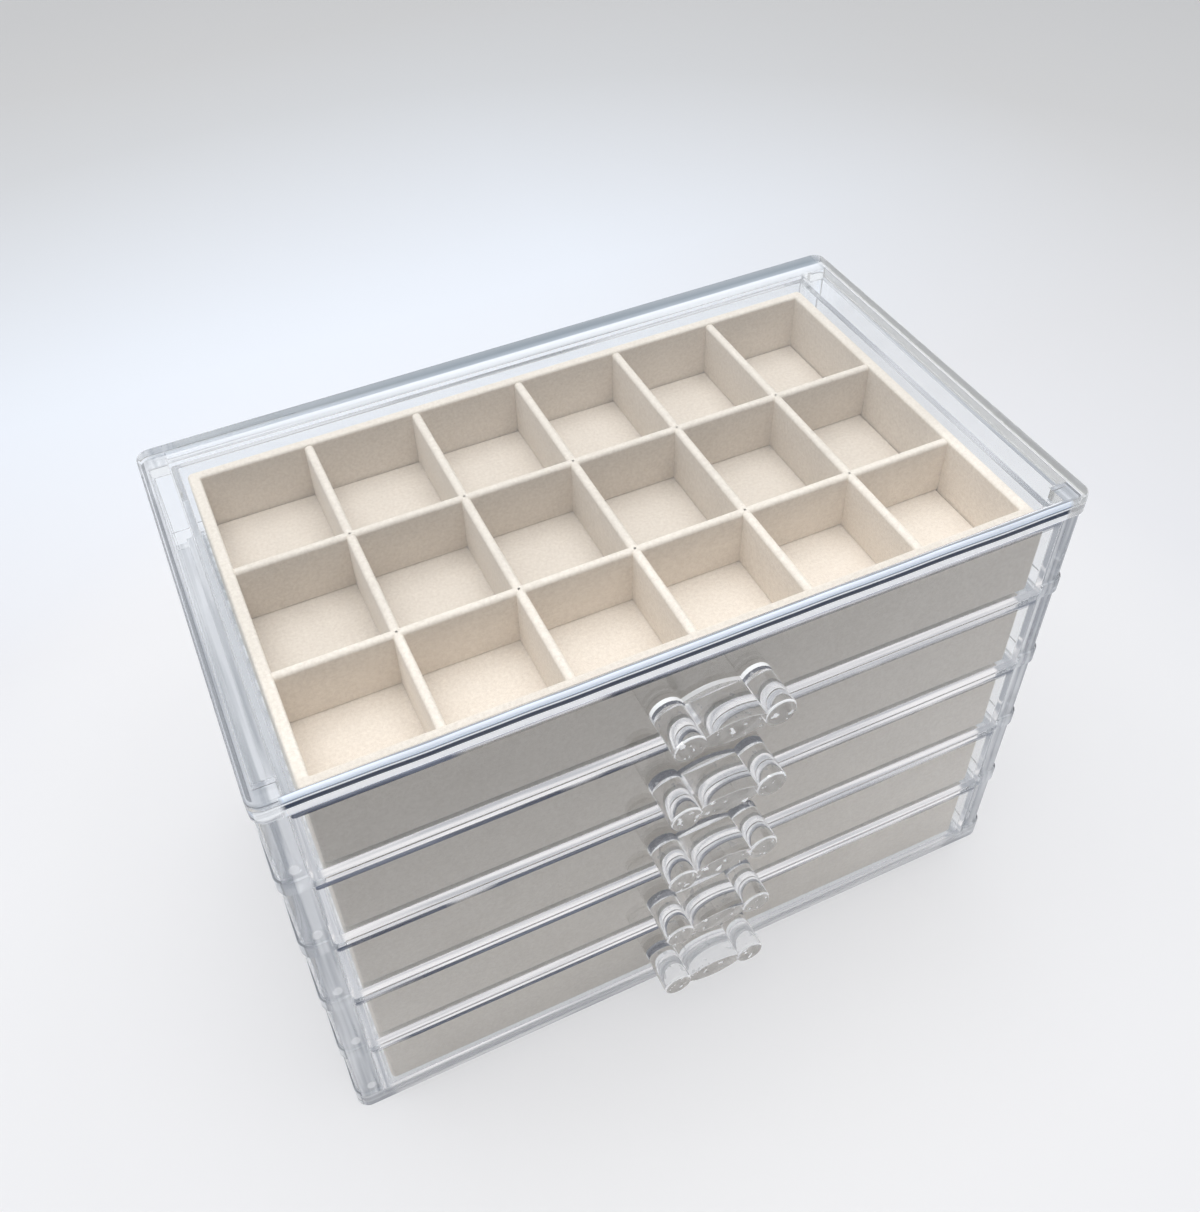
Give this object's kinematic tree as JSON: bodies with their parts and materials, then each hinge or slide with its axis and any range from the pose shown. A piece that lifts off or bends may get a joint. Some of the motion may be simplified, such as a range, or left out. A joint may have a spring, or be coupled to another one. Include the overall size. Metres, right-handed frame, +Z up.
{
  "type": "display box with drawers",
  "caption": "Clear plastic display box: stacked frames under a flat cover hold sliding drawers with bone-shaped pulls and velvet trays divided into cells for small jewellery.",
  "frame": {"origin": "middle of the flat underside of the case, on the surface it stands on", "axes": "+X to the right along the front, -Y out of the front with the pulls, +Z up"},
  "size_m": [0.235, 0.152, 0.166],
  "materials": {
    "case_plastic": "clear, polished",
    "drawer_plastic": "clear, polished",
    "pull_plastic": "clear, polished",
    "velvet": "short beige pile"
  },
  "bodies": {
    "case": {"base_plate": "case_plastic", "top_cover": "case_plastic", "frame_1": "case_plastic", "frame_2": "case_plastic", "frame_3": "case_plastic", "frame_4": "case_plastic", "frame_5": "case_plastic"},
    "drawer_body_1": {"drawer_1": "drawer_plastic", "pull_1": "pull_plastic", "tray_1": "velvet", "tray_1_cross_divider_1": "velvet"},
    "drawer_body_2": {"drawer_2": "drawer_plastic", "pull_2": "pull_plastic", "tray_2": "velvet", "tray_2_cross_divider_1": "velvet", "tray_2_cross_divider_2": "velvet"},
    "drawer_body_3": {"drawer_3": "drawer_plastic", "pull_3": "pull_plastic", "tray_3": "velvet", "tray_3_cross_divider_1": "velvet", "tray_3_cross_divider_2": "velvet"},
    "drawer_body_4": {"drawer_4": "drawer_plastic", "pull_4": "pull_plastic", "tray_4": "velvet", "tray_4_long_divider_1": "velvet", "tray_4_cross_divider_1": "velvet", "tray_4_cross_divider_2": "velvet"},
    "drawer_body_5": {"drawer_5": "drawer_plastic", "pull_5": "pull_plastic", "tray_5": "velvet", "tray_5_long_divider_1": "velvet", "tray_5_long_divider_2": "velvet", "tray_5_cross_divider_1": "velvet", "tray_5_cross_divider_2": "velvet", "tray_5_cross_divider_3": "velvet", "tray_5_cross_divider_4": "velvet", "tray_5_cross_divider_5": "velvet"}
  },
  "joints": [
    {"name": "drawer_1_slide", "type": "slide", "parent": "case", "child": "drawer_body_1", "axis": [0, -1, 0], "range_m": [0, 0.105]},
    {"name": "drawer_2_slide", "type": "slide", "parent": "case", "child": "drawer_body_2", "axis": [0, -1, 0], "range_m": [0, 0.105]},
    {"name": "drawer_3_slide", "type": "slide", "parent": "case", "child": "drawer_body_3", "axis": [0, -1, 0], "range_m": [0, 0.105]},
    {"name": "drawer_4_slide", "type": "slide", "parent": "case", "child": "drawer_body_4", "axis": [0, -1, 0], "range_m": [0, 0.105]},
    {"name": "drawer_5_slide", "type": "slide", "parent": "case", "child": "drawer_body_5", "axis": [0, -1, 0], "range_m": [0, 0.105]}
  ]
}
